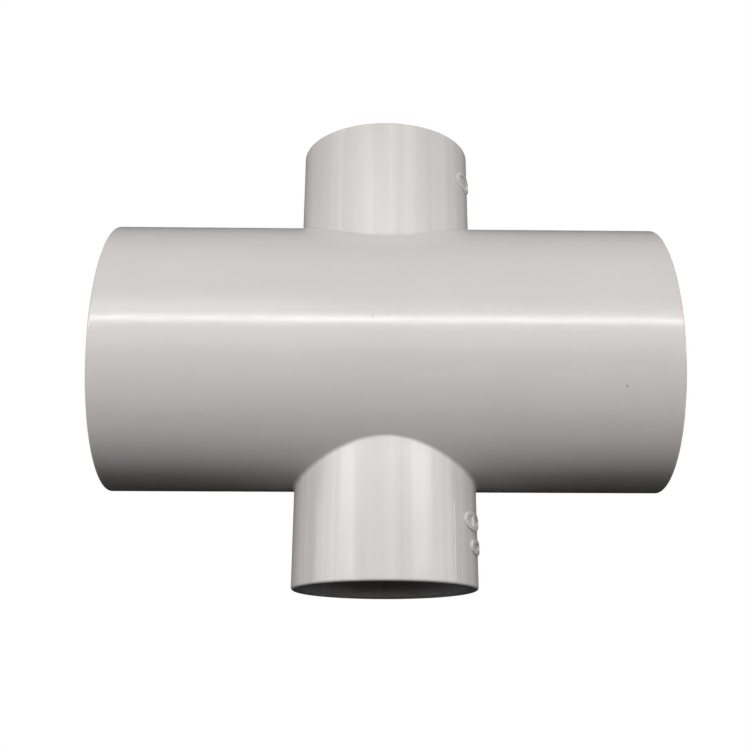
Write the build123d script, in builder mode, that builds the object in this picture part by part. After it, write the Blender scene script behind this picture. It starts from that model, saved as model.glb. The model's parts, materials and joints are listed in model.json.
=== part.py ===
from build123d import *
import os

# A reducing cross for solvent-cement pressure pipe, in millimetres, lying on its side.
# The straight run lies along X and the two smaller branches along Y, and the origin
# is where their centre lines cross.

# Straight run, for a 63 mm pipe
run_outer_diameter = 70.4
run_length = 144.0
run_socket_diameter = 63.2
run_socket_depth = 37.5
run_waterway_diameter = 58.8

# Branches, for a 40 mm pipe
branch_outer_diameter = 46.7
branch_span = 120.0
branch_socket_diameter = 40.2
branch_socket_depth = 26.0
branch_waterway_diameter = 36.6

# Edges
lip_radius = 0.6
lead_in = 0.6
stop_chamfer = 0.4
junction_radius = 1.0

# Raised ovals on the +X side of the branches: place along Y, turn in degrees from the
# top of the branch, size along Y and size round the branch
mark_height = 0.5
mark_stroke = 1.2
rear_oval = (49.0, 69.0, 5.4, 9.6)
front_large_oval = (-44.4, 67.5, 4.8, 9.8)
front_small_oval = (-50.4, 73.0, 3.9, 8.2)

# Worked out from the above
run_half = run_length / 2
branch_half = branch_span / 2
branch_radius = branch_outer_diameter / 2
run_stop_at = run_half - run_socket_depth
branch_stop_at = branch_half - branch_socket_depth
foot_reach = branch_radius + 2 * junction_radius


def across_run(side, distance):
    """The plane across the run this far from the centre, looking out of the mouth on that side of X."""
    return Plane(origin=(side * distance, 0, 0), x_dir=(0, 1, 0), z_dir=(side, 0, 0))


def across_branch(side, distance=0):
    """The plane across a branch this far from the centre, looking out of the mouth on that side of Y."""
    return Plane(origin=(0, side * distance, 0), x_dir=(1, 0, 0), z_dir=(0, side, 0))


# In the functions below, side is +1 or -1: right or left on the run, rear or front on the branches.

def outermost(shape_list, axis, side):
    """The face or edge furthest along the axis, or furthest against it if side is -1."""
    return shape_list.sort_by(axis)[-1 if side > 0 else 0]


def make_run_socket(side):
    """One end of the run: a plain socket tube from the pipe stop out to its rounded lip."""
    with BuildPart() as socket:
        with BuildSketch(across_run(side, run_stop_at)):
            Circle(run_outer_diameter / 2)
        extrude(amount=run_socket_depth)
        rim = outermost(socket.edges().filter_by(GeomType.CIRCLE), Axis.X, side)
        fillet(rim, radius=lip_radius)
        with BuildSketch(across_run(side, run_stop_at)):
            Circle(run_socket_diameter / 2)
        extrude(amount=run_socket_depth, mode=Mode.SUBTRACT)
        mouth = outermost(socket.faces(), Axis.X, side)
        chamfer(mouth.edges().sort_by(SortBy.LENGTH)[0], length=lead_in)
    return socket


def make_centre_body():
    """The thick middle of the run, with a port each side for a branch. Its ends are the run's pipe stops."""
    with BuildPart() as body:
        with BuildSketch(across_run(1, -run_stop_at)):
            Circle(run_outer_diameter / 2)
            Circle(run_waterway_diameter / 2, mode=Mode.SUBTRACT)
        extrude(amount=2 * run_stop_at)
        for side in (-1, 1):
            stop = outermost(body.faces(), Axis.X, side)
            chamfer(stop.edges().sort_by(SortBy.LENGTH)[0], length=stop_chamfer)
        with BuildSketch(Plane.XZ):
            Circle(branch_radius)
        extrude(amount=run_outer_diameter, both=True, mode=Mode.SUBTRACT)
    return body


def make_branch_hub(side, centre_body):
    """One branch: a socket tube with a small fillet round its foot, and a root that fills the
    centre body's port, holds the pipe stop and ends flush with the run's waterway."""
    with BuildPart() as hub:
        with BuildSketch(across_run(1, -foot_reach)):
            Circle(run_outer_diameter / 2)
        extrude(amount=2 * foot_reach)
        with BuildSketch(across_branch(side)):
            Circle(branch_radius)
        extrude(amount=branch_half)
        fillet(hub.edges().filter_by(GeomType.BSPLINE), radius=junction_radius)
        rim = outermost(hub.edges().filter_by(GeomType.CIRCLE), Axis.Y, side)
        fillet(rim, radius=lip_radius)
        add(centre_body.part, mode=Mode.SUBTRACT)
        with BuildSketch(across_run(1, -foot_reach)):
            Circle(run_waterway_diameter / 2)
        extrude(amount=2 * foot_reach, mode=Mode.SUBTRACT)
        split(bisect_by=across_branch(side), keep=Keep.TOP)
        with BuildSketch(across_branch(side)):
            Circle(branch_waterway_diameter / 2)
        extrude(amount=branch_half, mode=Mode.SUBTRACT)
        with BuildSketch(across_branch(side, branch_stop_at)):
            Circle(branch_socket_diameter / 2)
        extrude(amount=branch_socket_depth, mode=Mode.SUBTRACT)
        mouth = outermost(hub.faces(), Axis.Y, side)
        chamfer(mouth.edges().sort_by(SortBy.LENGTH)[0], length=lead_in)
    return hub


def make_oval_mark(place, with_bar=False):
    """A plain raised oval that follows the round outside of a branch, with or without a bar."""
    along, turn, width, height = place
    radial = Vector(0, 0, 1).rotate(Axis.Y, turn)
    face = Plane(origin=(0, along, 0), x_dir=(0, 1, 0), z_dir=radial)
    with BuildPart() as mark:
        with BuildSketch(face):
            Ellipse(width / 2, height / 2)
            Ellipse(width / 2 - mark_stroke, height / 2 - mark_stroke, mode=Mode.SUBTRACT)
            if with_bar:
                Rectangle(width - mark_stroke, mark_stroke)
        extrude(amount=branch_outer_diameter)
        with BuildSketch(across_branch(1 if along > 0 else -1)):
            Circle(branch_radius + mark_height)
            Circle(branch_radius, mode=Mode.SUBTRACT)
        extrude(amount=branch_half, mode=Mode.INTERSECT)
    return mark


os.makedirs("parts", exist_ok=True)

centre_body = make_centre_body()
pieces = {
    "left_run_socket": make_run_socket(-1),
    "right_run_socket": make_run_socket(1),
    "centre_body": centre_body,
    "front_branch_hub": make_branch_hub(-1, centre_body),
    "rear_branch_hub": make_branch_hub(1, centre_body),
    "rear_oval_mark": make_oval_mark(rear_oval),
    "front_large_oval_mark": make_oval_mark(front_large_oval, with_bar=True),
    "front_small_oval_mark": make_oval_mark(front_small_oval),
}
for name, piece in pieces.items():
    piece.part.label = name
    export_step(piece.part, f"parts/{name}.step")
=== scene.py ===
import json
from math import cos, pi, radians, sin

import bmesh
import bpy
import numpy as np
from mathutils import Matrix, Vector


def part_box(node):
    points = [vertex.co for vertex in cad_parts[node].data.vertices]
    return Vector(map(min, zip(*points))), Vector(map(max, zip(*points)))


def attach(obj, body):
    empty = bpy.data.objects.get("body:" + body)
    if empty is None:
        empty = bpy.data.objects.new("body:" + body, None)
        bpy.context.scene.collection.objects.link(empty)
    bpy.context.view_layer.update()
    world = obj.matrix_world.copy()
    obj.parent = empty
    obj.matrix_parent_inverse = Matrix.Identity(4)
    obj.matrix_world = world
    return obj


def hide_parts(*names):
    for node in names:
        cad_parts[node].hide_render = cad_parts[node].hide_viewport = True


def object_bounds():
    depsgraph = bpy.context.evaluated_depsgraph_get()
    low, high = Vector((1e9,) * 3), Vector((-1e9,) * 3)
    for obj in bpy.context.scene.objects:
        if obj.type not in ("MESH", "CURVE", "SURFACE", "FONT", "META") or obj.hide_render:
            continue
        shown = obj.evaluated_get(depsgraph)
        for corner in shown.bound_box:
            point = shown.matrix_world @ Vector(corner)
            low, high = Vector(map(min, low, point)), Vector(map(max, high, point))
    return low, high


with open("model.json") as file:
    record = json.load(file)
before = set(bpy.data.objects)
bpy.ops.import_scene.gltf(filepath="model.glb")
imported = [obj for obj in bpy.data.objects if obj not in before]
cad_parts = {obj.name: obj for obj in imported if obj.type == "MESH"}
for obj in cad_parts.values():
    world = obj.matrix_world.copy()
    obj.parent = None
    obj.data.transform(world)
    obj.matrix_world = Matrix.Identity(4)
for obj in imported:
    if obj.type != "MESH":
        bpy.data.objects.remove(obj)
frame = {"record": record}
cad_low, cad_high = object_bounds()

# ---------------------------------------------------------------- sizes, in metres

RUN_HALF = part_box("right_run_socket")[1].x
RUN_STOP_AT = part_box("centre_body")[1].x
RUN_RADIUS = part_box("centre_body")[1].z
BRANCH_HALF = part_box("rear_branch_hub")[1].y
JUNCTION_RADIUS = 0.001
BRANCH_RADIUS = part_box("rear_branch_hub")[1].x - JUNCTION_RADIUS
SOCKET_RADII = {m["name"]: m["dims"]["r_mm"] / 1000 for m in frame["record"]["mounts"]}
RUN_SOCKET_RADIUS = SOCKET_RADII["right_run_bore"]
BRANCH_SOCKET_RADIUS = SOCKET_RADII["rear_branch_bore"]
BRANCH_SOCKET_DEPTH = 0.026
BRANCH_STOP_AT = BRANCH_HALF - BRANCH_SOCKET_DEPTH
RUN_WATERWAY_RADIUS = 0.0294
BRANCH_WATERWAY_RADIUS = 0.0183
LIP_RADIUS = 0.0006
LEAD_IN = 0.0006
STOP_EDGE = 0.0004
FLOOR_Z = cad_low.z

# Steps along each side of the square round a port, from port to square, round a branch, in an arc
PORT_SIDE_STEPS = 96
PORT_RINGS = 22
BRANCH_STEPS = 256
ARC_STEPS = 10
WALL_STEPS = 12


# ---------------------------------------------------------------- surfaces

def grid_faces(rows, columns, first=0, wrap_rows=False, wrap_columns=False):
    """Quads of a rows by columns grid of points, as indices, joined round at the ends if asked."""
    row = np.arange(rows if wrap_rows else rows - 1)
    column = np.arange(columns if wrap_columns else columns - 1)
    row, column = np.meshgrid(row, column, indexing="ij")
    next_row = (row + 1) % rows
    next_column = (column + 1) % columns
    corners = [row * columns + column, next_row * columns + column,
               next_row * columns + next_column, row * columns + next_column]
    return first + np.stack(corners, axis=-1).reshape(-1, 4)


def shell(name, grids, sharp_angle=40.0):
    """One closed mesh object from grids of points. Each grid is (points, wrap rows, wrap columns).
    Edges that lie on each other are joined, and all faces are turned outwards."""
    points, faces, count = [], [], 0
    for grid, wrap_rows, wrap_columns in grids:
        rows, columns = grid.shape[:2]
        faces.append(grid_faces(rows, columns, count, wrap_rows, wrap_columns))
        points.append(grid.reshape(-1, 3))
        count += rows * columns
    mesh = bpy.data.meshes.new(name)
    mesh.from_pydata(np.concatenate(points), [], np.concatenate(faces).tolist())
    work = bmesh.new()
    work.from_mesh(mesh)
    bmesh.ops.remove_doubles(work, verts=work.verts, dist=1e-7)
    bmesh.ops.recalc_face_normals(work, faces=work.faces)
    work.to_mesh(mesh)
    work.free()
    mesh.shade_smooth()
    mesh.set_sharp_from_angle(angle=radians(sharp_angle))
    piece = bpy.data.objects.new(name, mesh)
    bpy.context.scene.collection.objects.link(piece)
    return piece


def quarter_arc(centre, radius, start, end):
    """Points of an arc in a flat outline: centre plus radius times (cosine, sine) from start to end."""
    turn = np.radians(np.linspace(start, end, ARC_STEPS + 1))
    return np.stack([centre[0] + radius * np.cos(turn), centre[1] + radius * np.sin(turn)], axis=-1)


def round_x(x, radius, turn):
    """Points round the X axis: turn 0 is straight up and a quarter turn is +Y."""
    x, radius, turn = np.broadcast_arrays(x, radius, turn)
    return np.stack([x, radius * np.sin(turn), radius * np.cos(turn)], axis=-1)


def round_port(radius, port_radius, square_half, side):
    """A tube wall's half turn about one side of Y, with a round port in the middle of it.
    The points run from the port's edge out to a square of half length square_half in X and a
    quarter turn up and down, each on a straight line in the unrolled wall."""
    along = np.linspace(-1, 1, PORT_SIDE_STEPS + 1)[:-1]
    one = np.ones_like(along)
    square_x = np.concatenate([along, one, -along, -one])
    square_turn = np.concatenate([one, -along, -one, along])
    bearing = np.arctan2(square_x, square_turn)
    edge_x = port_radius * np.sin(bearing)
    edge_turn = np.arcsin(port_radius * np.cos(bearing) / radius)
    outward = np.linspace(0, 1, PORT_RINGS + 1)[:, None] ** 1.4
    x = edge_x + (square_x * square_half - edge_x) * outward
    lift = edge_turn + (square_turn * pi / 2 - edge_turn) * outward
    return np.stack([x, side * radius * np.cos(lift), radius * np.sin(lift)], axis=-1)


def ported_tube(name, outer, inner, square_half, port_radius, end_outline):
    """A tube along X with a round port at each side, front and rear, closed all over.
    end_outline gives (x, radius) from the outer wall round one end to the inner wall."""
    turn = np.linspace(0, 2 * pi, 2 * PORT_SIDE_STEPS, endpoint=False)[None, :]
    grids = []
    for side in (-1, 1):
        walls = [round_port(radius, port_radius, square_half, side) for radius in (outer, inner)]
        grids += [(wall, False, True) for wall in walls]
        grids.append((np.stack([walls[0][0], walls[1][0]]), False, True))
        outline = np.concatenate([[[square_half, outer]], end_outline, [[square_half, inner]]])
        grids.append((round_x(side * outline[:, :1], outline[:, 1:], turn), False, True))
    return shell(name, grids)


def lipped_end(half, outer, inner, lip_radius):
    """The end of a tube: a round outer lip, a flat rim and a chamfer into the bore, as (x, radius)."""
    lip = quarter_arc((half - lip_radius, outer - lip_radius), lip_radius, 90, 0)
    chamfer = np.array([[half, inner + LEAD_IN], [half - LEAD_IN, inner]])
    return np.concatenate([lip, chamfer])


def centre_body():
    """Thick middle of the run. A small chamfer breaks the inner edge of each pipe stop."""
    end = np.array([[RUN_STOP_AT, RUN_RADIUS], [RUN_STOP_AT, RUN_WATERWAY_RADIUS + STOP_EDGE],
                    [RUN_STOP_AT - STOP_EDGE, RUN_WATERWAY_RADIUS]])
    return ported_tube("centre_wall", RUN_RADIUS, RUN_WATERWAY_RADIUS, RUN_STOP_AT - 2 * STOP_EDGE,
                       BRANCH_RADIUS, end)


def run_socket(name, side):
    """One end of the run: an outline of wall, lip, rim, chamfer and bore, turned round the X axis."""
    turn = np.linspace(0, 2 * pi, 2 * PORT_SIDE_STEPS, endpoint=False)[None, :]
    lip = lipped_end(RUN_HALF, RUN_RADIUS, RUN_SOCKET_RADIUS, LIP_RADIUS)
    outside = np.linspace([RUN_STOP_AT, RUN_RADIUS], lip[0], WALL_STEPS)[:-1]
    bore = np.linspace(lip[-1], [RUN_STOP_AT, RUN_SOCKET_RADIUS], WALL_STEPS)[1:]
    outline = np.concatenate([outside, lip, bore])
    return shell(name, [(round_x(side * outline[:, :1], outline[:, 1:], turn), True, True)])


def round_y(radius, along, turn, side):
    """Points round the Y axis: turn 0 is straight up and a quarter turn is +X."""
    radius, along, turn = np.broadcast_arrays(radius, along, turn)
    return np.stack([radius * np.sin(turn), side * along, radius * np.cos(turn)], axis=-1)


def saddle(radius, run_radius, turn):
    """How far out along Y a tube of this radius meets a tube of run_radius along X, at each turn."""
    return np.sqrt(run_radius ** 2 - (radius * np.cos(turn)) ** 2)


def branch_hub(name, side):
    """One branch. Each row of points goes once round the wall at its own turn: rim, lip, outside,
    the fillet as the arc of a ball that touches both tubes, then the root, the waterway, the pipe
    stop and back up the bore."""
    turn = np.linspace(0, 2 * pi, BRANCH_STEPS, endpoint=False)
    lip = lipped_end(BRANCH_HALF, BRANCH_RADIUS, BRANCH_SOCKET_RADIUS, LIP_RADIUS)[::-1]
    rows = [round_y(radius, along, turn, side) for along, radius in lip]
    ball_away = RUN_RADIUS + JUNCTION_RADIUS
    ball_y = saddle(BRANCH_RADIUS + JUNCTION_RADIUS, ball_away, turn)
    wall_top = BRANCH_HALF - LIP_RADIUS
    for share in np.linspace(0, 1, WALL_STEPS)[1:]:
        rows.append(round_y(BRANCH_RADIUS, wall_top + (ball_y - wall_top) * share, turn, side))
    ball = round_y(BRANCH_RADIUS + JUNCTION_RADIUS, ball_y, turn, side)
    to_branch = -round_y(1.0, 0.0, turn, side)
    to_run = -ball * np.array([0.0, 1.0, 1.0]) / ball_away
    gap = np.arccos(np.clip((to_branch * to_run).sum(axis=-1), -1, 1))[:, None]
    for share in np.linspace(0, 1, ARC_STEPS + 1)[1:]:
        bent = np.sin((1 - share) * gap) * to_branch + np.sin(share * gap) * to_run
        rows.append(ball + JUNCTION_RADIUS * bent / np.sin(gap))
    rows.append(round_y(BRANCH_RADIUS, saddle(BRANCH_RADIUS, RUN_RADIUS, turn), turn, side))
    rows.append(round_y(BRANCH_RADIUS, saddle(BRANCH_RADIUS, RUN_WATERWAY_RADIUS, turn), turn, side))
    root = saddle(BRANCH_WATERWAY_RADIUS, RUN_WATERWAY_RADIUS, turn)
    rows.append(round_y(BRANCH_WATERWAY_RADIUS, root, turn, side))
    rows.append(round_y(BRANCH_WATERWAY_RADIUS, BRANCH_STOP_AT - STOP_EDGE, turn, side))
    rows.append(round_y(BRANCH_WATERWAY_RADIUS + STOP_EDGE, BRANCH_STOP_AT, turn, side))
    rows.append(round_y(BRANCH_SOCKET_RADIUS, BRANCH_STOP_AT, turn, side))
    return shell(name, [(np.stack(rows), True, True)])


MARK_HEIGHT = 0.0005
MARK_STROKE = 0.0012
MARK_EDGE = 0.0003


def stroke_outline():
    """Cross-section of a raised stroke: flat foot, upright sides and a rounded top, as (across, up)."""
    half = MARK_STROKE / 2
    right = quarter_arc((half - MARK_EDGE, MARK_HEIGHT - MARK_EDGE), MARK_EDGE, 0, 90)
    top = np.concatenate([[[half, 0.0]], right])
    return np.concatenate([top, top[::-1] * [-1, 1]])


def on_branch(along, across, up, middle, turn):
    """Points on the outside of a branch, given along Y, across the flat of the mark and up from
    the wall: across is turned into an angle by its arc sine, as a shape pressed on from above."""
    radius = BRANCH_RADIUS + up
    angle = turn + np.arcsin(across / BRANCH_RADIUS)
    return np.stack([radius * np.sin(angle), middle + along, radius * np.cos(angle)], axis=-1)


def oval_mark(name, node, with_bar=False):
    """A raised oval ring on the +X side of a branch, as wide and high as its CAD solid, with a bar
    across its middle if asked. The stroke's cross-section is carried round an ellipse."""
    low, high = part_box(node)
    middle = (low.y + high.y) / 2
    lowest, highest = np.arcsin(np.clip(np.array([low.z, high.z]) / BRANCH_RADIUS, -1, 1))
    turn = pi / 2 - (lowest + highest) / 2
    half_along = (high.y - low.y - MARK_STROKE) / 2
    half_across = (BRANCH_RADIUS * sin((highest - lowest) / 2) - MARK_STROKE / 2)
    outline = stroke_outline()
    around = np.linspace(0, 2 * pi, 96, endpoint=False)
    slope = np.stack([half_across * np.cos(around), half_along * np.sin(around)], axis=-1)
    slope /= np.linalg.norm(slope, axis=-1, keepdims=True)
    along = half_along * np.cos(around) + outline[:, :1] * slope[:, 0]
    across = half_across * np.sin(around) + outline[:, :1] * slope[:, 1]
    up = np.broadcast_to(outline[:, 1:], along.shape)
    grids = [(on_branch(along, across, up, middle, turn), True, True)]
    if with_bar:
        reach = half_along * np.array([-1.0, -1.0, 1.0, 1.0])[None, :]
        narrow = np.array([0.0, 1.0, 1.0, 0.0])[None, :]
        bar_up = outline[:, 1:] * narrow
        bar = on_branch(reach + 0 * bar_up, outline[:, :1] * narrow, bar_up, middle, turn)
        grids.append((bar, True, False))
    return shell(name, grids)


# ---------------------------------------------------------------- materials

def node(tree, kind, place, **values):
    """A node of this kind at this place in the tree, with its inputs set by name."""
    made = tree.nodes.new(kind)
    made.location = place
    for name, value in values.items():
        made.inputs[name.replace("_", " ")].default_value = value
    return made


def effect(name, inputs, outputs):
    """A shader node group with the named float, vector or colour sockets."""
    group = bpy.data.node_groups.new(name, "ShaderNodeTree")
    for title, kind, value in inputs:
        socket = group.interface.new_socket(title, in_out="INPUT", socket_type=kind)
        if value is not None:
            socket.default_value = value
    for title, kind in outputs:
        group.interface.new_socket(title, in_out="OUTPUT", socket_type=kind)
    return group, group.nodes.new("NodeGroupInput"), group.nodes.new("NodeGroupOutput")


def place(tree, group, **values):
    """A group put into a material, with its inputs set by name."""
    made = tree.nodes.new("ShaderNodeGroup")
    made.node_tree = group
    for name, value in values.items():
        made.inputs[name.replace("_", " ")].default_value = value
    return made


def math_node(tree, operation, first, second=None, third=None, clamp=False):
    """A Math node. Each operand is a number or a socket."""
    made = tree.nodes.new("ShaderNodeMath")
    made.operation = operation
    made.use_clamp = clamp
    for index, value in enumerate((first, second, third)):
        if value is None:
            continue
        if isinstance(value, (int, float)):
            made.inputs[index].default_value = value
        else:
            tree.links.new(value, made.inputs[index])
    return made.outputs[0]


def vector_node(tree, operation, first, second=None):
    """A Vector Math node fed by one or two sockets."""
    made = tree.nodes.new("ShaderNodeVectorMath")
    made.operation = operation
    tree.links.new(first, made.inputs[0])
    if second is not None:
        tree.links.new(second, made.inputs[1])
    return made


def make_streaks():
    """Faint lines drawn along one axis, as a mould core leaves them: noise stretched by the scale. Where a
    material turns them into tone as well as bump, that tone is in part painted sheen.
    """
    group, given, result = effect(
        "streaks",
        [("Vector", "NodeSocketVector", None), ("Stretch", "NodeSocketVector", (1, 1, 1)),
         ("Detail", "NodeSocketFloat", 3.0)],
        [("Height", "NodeSocketFloat")])
    stretched = vector_node(group, "MULTIPLY", given.outputs["Vector"], given.outputs["Stretch"])
    noise = node(group, "ShaderNodeTexNoise", (0, 0), Scale=1.0, Roughness=0.55)
    group.links.new(stretched.outputs[0], noise.inputs["Vector"])
    group.links.new(given.outputs["Detail"], noise.inputs["Detail"])
    group.links.new(noise.outputs["Fac"], result.inputs["Height"])
    return group


def make_mottle():
    """A slow drift of tone in the plastic: two sizes of noise added, from 0 to 1 about 0.5."""
    group, given, result = effect(
        "mottle",
        [("Vector", "NodeSocketVector", None), ("Size", "NodeSocketFloat", 60.0)],
        [("Tone", "NodeSocketFloat")])
    broad = node(group, "ShaderNodeTexNoise", (0, 0), Detail=2.0, Roughness=0.5)
    fine = node(group, "ShaderNodeTexNoise", (0, 0), Detail=2.0, Roughness=0.5)
    group.links.new(given.outputs["Vector"], broad.inputs["Vector"])
    group.links.new(given.outputs["Vector"], fine.inputs["Vector"])
    group.links.new(given.outputs["Size"], broad.inputs["Scale"])
    group.links.new(math_node(group, "MULTIPLY", given.outputs["Size"], 4.5), fine.inputs["Scale"])
    mixed = math_node(group, "MULTIPLY", broad.outputs["Fac"], 0.7)
    mixed = math_node(group, "MULTIPLY_ADD", fine.outputs["Fac"], 0.3, mixed)
    group.links.new(mixed, result.inputs["Tone"])
    return group


def make_blemish():
    """A small mark at one place: full inside an ellipsoid of the given half sizes, fading at its edge."""
    group, given, result = effect(
        "blemish",
        [("Vector", "NodeSocketVector", None), ("Centre", "NodeSocketVector", (0, 0, 0)),
         ("Half size", "NodeSocketVector", (0.001, 0.001, 0.001))],
        [("Mask", "NodeSocketFloat")])
    offset = vector_node(group, "SUBTRACT", given.outputs["Vector"], given.outputs["Centre"])
    scaled = vector_node(group, "DIVIDE", offset.outputs[0], given.outputs["Half size"])
    away = vector_node(group, "LENGTH", scaled.outputs[0]).outputs["Value"]
    fade = math_node(group, "SUBTRACT", 1.0, away, clamp=True)
    group.links.new(math_node(group, "MULTIPLY", fade, 2.0, clamp=True), result.inputs["Mask"])
    return group


def make_witness_line():
    """A thin line along a branch at one turn round it, between two places along Y."""
    group, given, result = effect(
        "witness line",
        [("Vector", "NodeSocketVector", None), ("Turn", "NodeSocketFloat", 0.79),
         ("Half width", "NodeSocketFloat", 0.006), ("Low Y", "NodeSocketFloat", -0.0593),
         ("High Y", "NodeSocketFloat", -0.041)],
        [("Mask", "NodeSocketFloat")])
    parts = group.nodes.new("ShaderNodeSeparateXYZ")
    group.links.new(given.outputs["Vector"], parts.inputs[0])
    turn = math_node(group, "ARCTAN2", parts.outputs["X"], parts.outputs["Z"])
    away = math_node(group, "ABSOLUTE", math_node(group, "SUBTRACT", turn, given.outputs["Turn"]))
    line = math_node(group, "SUBTRACT", 1.0, math_node(group, "DIVIDE", away, given.outputs["Half width"]),
                     clamp=True)
    above = math_node(group, "GREATER_THAN", parts.outputs["Y"], given.outputs["Low Y"])
    below = math_node(group, "LESS_THAN", parts.outputs["Y"], given.outputs["High Y"])
    inside = math_node(group, "MULTIPLY", above, below)
    group.links.new(math_node(group, "MULTIPLY", line, inside), result.inputs["Mask"])
    return group


STREAKS = make_streaks()
MOTTLE = make_mottle()
BLEMISH = make_blemish()
WITNESS_LINE = make_witness_line()

PLASTIC_IOR = 1.53
WARMTH = (1.0, 0.955, 0.925)
MOTTLE_SIZE = 38.0
MOTTLE_SHARE = 0.12
GRAIN_SCALE = 1500.0
GRAIN_DEPTH = 0.000001
ROUGHNESS_SPREAD = 0.08
# the witness line's tone lift is a painted highlight on its ridge; its height below is the real ridge in the
# bump
LINE_PAINTED_HIGHLIGHT = 0.55
LINE_HEIGHT = 0.00005


def grey_plastic(name, tone, roughness, stretch, streak_depth, streak_and_sheen_tone, blemishes=(), lined=False):
    """Grey moulded PVC: a slow drift of tone, streaks along the part, a fine skin and a few marks.
    stretch is how many streaks there are to a metre along X, Y and Z, and the same number along
    all three makes speckles. The streaks bump the surface, and their share of the tone is in part
    painted sheen: painted reflection streaks down the branches, painted glints on the marks. Each
    blemish is a centre, half sizes and how much it takes off the tone. With lined, the witness line
    is a raised ridge in the bump and a painted highlight in the tone."""
    material = bpy.data.materials.new(name)
    material.use_nodes = True
    tree = material.node_tree
    tree.nodes.clear()
    links = tree.links
    output = tree.nodes.new("ShaderNodeOutputMaterial")
    shader = node(tree, "ShaderNodeBsdfPrincipled", (0, 0), IOR=PLASTIC_IOR)
    where = tree.nodes.new("ShaderNodeTexCoord").outputs["Object"]

    mottle = place(tree, MOTTLE, Size=MOTTLE_SIZE)
    streaks = place(tree, STREAKS, Stretch=stretch, Detail=4.0)
    grain = node(tree, "ShaderNodeTexNoise", (0, 0), Scale=GRAIN_SCALE, Detail=2.0, Roughness=0.6)
    for effect_node in (mottle, streaks, grain):
        links.new(where, effect_node.inputs["Vector"])

    shade = math_node(tree, "MULTIPLY_ADD", mottle.outputs["Tone"], tone * MOTTLE_SHARE,
                      tone * (1 - MOTTLE_SHARE / 2))
    # painted sheen: streaks of lighter and darker tone, standing in for reflection streaks down the branches
    # and glints on the marks; on the run they are only a faint tone
    streak_and_sheen_shade = math_node(tree, "MULTIPLY_ADD", streaks.outputs["Height"], tone * streak_and_sheen_tone, shade)
    shade = math_node(tree, "SUBTRACT", streak_and_sheen_shade, tone * streak_and_sheen_tone / 2)
    height = math_node(tree, "MULTIPLY", streaks.outputs["Height"], streak_depth)
    height = math_node(tree, "MULTIPLY_ADD", grain.outputs["Fac"], GRAIN_DEPTH, height)
    for centre, half_size, loss in blemishes:
        spot = place(tree, BLEMISH, Centre=centre, Half_size=half_size)
        links.new(where, spot.inputs["Vector"])
        kept = math_node(tree, "MULTIPLY_ADD", spot.outputs["Mask"], -loss, 1.0)
        shade = math_node(tree, "MULTIPLY", shade, kept)
    if lined:
        line = place(tree, WITNESS_LINE)
        links.new(where, line.inputs["Vector"])
        # painted highlight: the witness line's tone is lifted, standing in for light caught by its raised
        # ridge
        shade = math_node(tree, "MULTIPLY_ADD", line.outputs["Mask"], LINE_PAINTED_HIGHLIGHT, shade, clamp=True)
        height = math_node(tree, "MULTIPLY_ADD", line.outputs["Mask"], LINE_HEIGHT, height)

    colour = tree.nodes.new("ShaderNodeCombineColor")
    for channel, factor in zip(colour.inputs, WARMTH):
        links.new(math_node(tree, "MULTIPLY", shade, factor), channel)
    links.new(colour.outputs[0], shader.inputs["Base Color"])
    rough = math_node(tree, "MULTIPLY_ADD", streaks.outputs["Height"], ROUGHNESS_SPREAD,
                      roughness - ROUGHNESS_SPREAD / 2)
    links.new(rough, shader.inputs["Roughness"])
    bump = node(tree, "ShaderNodeBump", (0, 0), Strength=1.0, Distance=1.0)
    links.new(height, bump.inputs["Height"])
    links.new(bump.outputs["Normal"], shader.inputs["Normal"])
    links.new(shader.outputs[0], output.inputs["Surface"])
    return material


# How many streaks or speckles there are to a metre along X, Y and Z
ALONG_RUN = (8, 260, 260)
ALONG_BRANCH = (380, 5, 380)
# the speckles on the marks are in part painted glints
SPECKLED = (900, 900, 900)
RUN_BLEMISHES = [
    ((0.0575, -0.0160, 0.0313), (0.00045, 0.00045, 0.00045), 0.4),
    ((-0.0036, 0.0, 0.0352), (0.00030, 0.0008, 0.001), 0.16),
    ((0.0002, 0.0003, 0.0352), (0.00025, 0.0006, 0.001), 0.13),
]
BARREL_SKIN = grey_plastic("barrel_skin", 0.60, 0.17, ALONG_RUN, 0.000010, 0.03, RUN_BLEMISHES)
# painted sheen: the branch's streaks of tone stand in for reflection streaks along it, and its witness line
# is lifted as a painted highlight
BRANCH_SKIN_WITH_PAINTED_SHEEN = grey_plastic("branch_skin_with_painted_sheen", 0.60, 0.19, ALONG_BRANCH, 0.000080, 0.32, lined=True)
# painted glints: the marks are the same plastic as the fitting, given a lighter tone and speckles of tone
# that stand in for light caught on the raised strokes; the speckles also bump them
MARK_SKIN_WITH_PAINTED_GLINTS = grey_plastic("mark_skin_with_painted_glints", 0.64, 0.13, SPECKLED, 0.000240, 0.40)


# ---------------------------------------------------------------- the fitting

def fit_piece(piece, cad_node, material):
    """Gives a piece its material, hangs it on the root body and hides the CAD solid it stands for."""
    piece.data.materials.append(material)
    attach(piece, "root")
    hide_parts(cad_node)


fit_piece(centre_body(), "centre_body", BARREL_SKIN)
for position, direction in (("left", -1), ("right", 1)):
    socket = run_socket(f"{position}_socket_wall", direction)
    fit_piece(socket, f"{position}_run_socket", BARREL_SKIN)
for position, direction in (("front", -1), ("rear", 1)):
    hub = branch_hub(f"{position}_branch_wall", direction)
    fit_piece(hub, f"{position}_branch_hub", BRANCH_SKIN_WITH_PAINTED_SHEEN)
for cad_name, with_bar in (("rear_oval_mark", False), ("front_large_oval_mark", True),
                           ("front_small_oval_mark", False)):
    raised = oval_mark(cad_name.replace("mark", "relief"), cad_name, with_bar)
    fit_piece(raised, cad_name, MARK_SKIN_WITH_PAINTED_GLINTS)


# ---------------------------------------------------------------- floor, light and camera

FLOOR_HALF = 3.0
FLOOR_BOUNCE = 0.05


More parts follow.
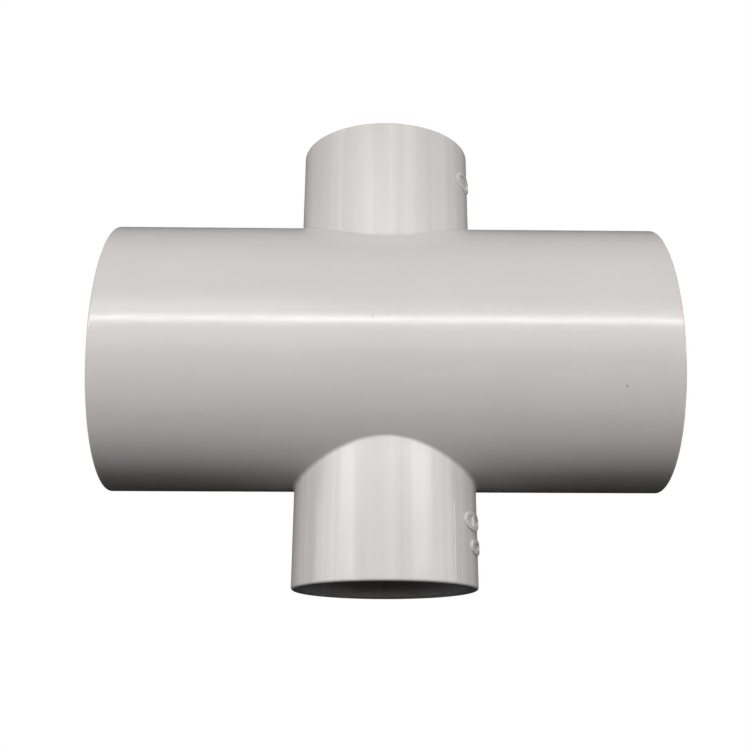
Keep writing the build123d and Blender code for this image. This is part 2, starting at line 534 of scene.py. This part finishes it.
def make_floor():
    """A plain pale floor that the fitting lies on. It looks nearly white, and throws little light up."""
    mesh = bpy.data.meshes.new("pale_floor")
    corners = [(x * FLOOR_HALF, y * FLOOR_HALF, FLOOR_Z) for x, y in ((-1, -1), (1, -1), (1, 1), (-1, 1))]
    mesh.from_pydata(corners, [], [(0, 1, 2, 3)])
    floor = bpy.data.objects.new("pale_floor", mesh)
    bpy.context.scene.collection.objects.link(floor)
    material = bpy.data.materials.new("pale_floor")
    material.use_nodes = True
    tree = material.node_tree
    tree.nodes.clear()
    output = tree.nodes.new("ShaderNodeOutputMaterial")
    seen = node(tree, "ShaderNodeEmission", (0, 0), Color=(1, 1, 1, 1), Strength=1.0)
    unseen = node(tree, "ShaderNodeBsdfDiffuse", (0, 0), Color=(FLOOR_BOUNCE, FLOOR_BOUNCE, FLOOR_BOUNCE, 1))
    path = tree.nodes.new("ShaderNodeLightPath")
    choice = tree.nodes.new("ShaderNodeMixShader")
    tree.links.new(path.outputs["Is Camera Ray"], choice.inputs[0])
    tree.links.new(unseen.outputs[0], choice.inputs[1])
    tree.links.new(seen.outputs[0], choice.inputs[2])
    tree.links.new(choice.outputs[0], output.inputs["Surface"])
    mesh.materials.append(material)


def area_light(name, place_at, size, power, facing=(0, 0, -1)):
    """A rectangular studio light at a point, straight down or facing as given: size is across and along."""
    lamp = bpy.data.lights.new(name, "AREA")
    lamp.shape = "RECTANGLE"
    lamp.size, lamp.size_y = size
    lamp.energy = power
    light = bpy.data.objects.new(name, lamp)
    turned = Vector(facing).to_track_quat("-Z", "Y").to_matrix().to_4x4()
    light.matrix_world = Matrix.Translation(place_at) @ turned
    bpy.context.scene.collection.objects.link(light)


LIGHT_HEIGHT = 0.75
# Lights overhead, each from one X to another, from one Y to another, and its power in watts
OVERHEAD = {
    "line": (-0.50, 0.60, 0.20, 0.21, 1.75),
    "line_left": (-1.20, -0.45, 0.18, 0.25, 1.0),
    "line_right": (0.40, 1.20, 0.17, 0.24, 1.0),
    "glow": (-0.45, 0.45, 0.18, 0.27, 0.75),
    "soft": (-0.60, 0.60, 0.14, 0.32, 1.0),
    "softer": (-0.90, 0.90, 0.08, 0.40, 3.0),
    "broad": (-1.10, 1.10, 0.04, 0.50, 2.0),
    "middle": (-0.75, 0.75, -0.12, 0.15, 1.5),
    "rear_left": (-0.36, -0.08, 0.30, 0.48, 0.5),
    "rear_middle": (-0.10, 0.16, 0.32, 0.46, 0.75),
    "front_left": (-0.26, -0.14, -0.06, 0.15, 0.1),
    "left_strip": (-0.82, -0.74, 0.0, 0.20, 0.2),
    "right_strip": (0.64, 0.72, 0.0, 0.20, 0.2),
}
SIDE_PLACE = (0.9, 0.1, 0.3)
SIDE_SIZE = (0.5, 1.2)
SIDE_POWER = 4.0
ROOM_LIGHT = 0.01


def make_lights():
    """Soft lights overhead that together fade away from a bright line along the run, smaller ones
    that draw streaks down the branches, a weak one at each side and an almost dark room."""
    for name, (left, right, near, far, power) in OVERHEAD.items():
        middle = ((left + right) / 2, (near + far) / 2, LIGHT_HEIGHT)
        area_light(name, middle, (right - left, far - near), power)
    for name, side in (("side_left", -1), ("side_right", 1)):
        place_at = Vector((side * SIDE_PLACE[0], SIDE_PLACE[1], SIDE_PLACE[2]))
        area_light(name, place_at, SIDE_SIZE, SIDE_POWER, -place_at)
    world = bpy.data.worlds.new("room")
    bpy.context.scene.world = world
    world.use_nodes = True
    tree = world.node_tree
    tree.nodes.clear()
    output = tree.nodes.new("ShaderNodeOutputWorld")
    path = tree.nodes.new("ShaderNodeLightPath")
    dim = node(tree, "ShaderNodeBackground", (0, 0), Color=(1, 0.97, 0.94, 1), Strength=ROOM_LIGHT)
    bright = node(tree, "ShaderNodeBackground", (0, 0), Color=(1, 1, 1, 1), Strength=1.0)
    choice = tree.nodes.new("ShaderNodeMixShader")
    tree.links.new(path.outputs["Is Camera Ray"], choice.inputs[0])
    tree.links.new(dim.outputs[0], choice.inputs[1])
    tree.links.new(bright.outputs[0], choice.inputs[2])
    tree.links.new(choice.outputs[0], output.inputs["Surface"])


CAMERA_PLACE = (-0.0041, -0.087, 0.2835)
CAMERA_HEADING = 2.35
CAMERA_ELEVATION = 66.41
CAMERA_ROLL = 2.62
CAMERA_LENS = 52.19
CAMERA_SHIFT = (-0.0187, -0.187)


def make_camera():
    """A camera close above the fitting, looking down at it from the front at a steep angle."""
    heading, elevation = radians(CAMERA_HEADING), radians(CAMERA_ELEVATION)
    forward = Vector((sin(heading) * cos(elevation), cos(heading) * cos(elevation), -sin(elevation)))
    level = forward.cross(Vector((0, 0, 1))).normalized()
    right = Matrix.Rotation(-radians(CAMERA_ROLL), 3, forward) @ level
    up = right.cross(forward)
    lens = bpy.data.cameras.new("camera")
    lens.lens = CAMERA_LENS
    lens.sensor_width = 36.0
    lens.shift_x, lens.shift_y = CAMERA_SHIFT
    lens.clip_start = 0.01
    camera = bpy.data.objects.new("camera", lens)
    turned = Matrix((right, up, -forward)).transposed().to_4x4()
    camera.matrix_world = Matrix.Translation(CAMERA_PLACE) @ turned
    bpy.context.scene.collection.objects.link(camera)
    bpy.context.scene.camera = camera


make_floor()
make_lights()
make_camera()
bpy.context.scene.view_settings.view_transform = "Standard"
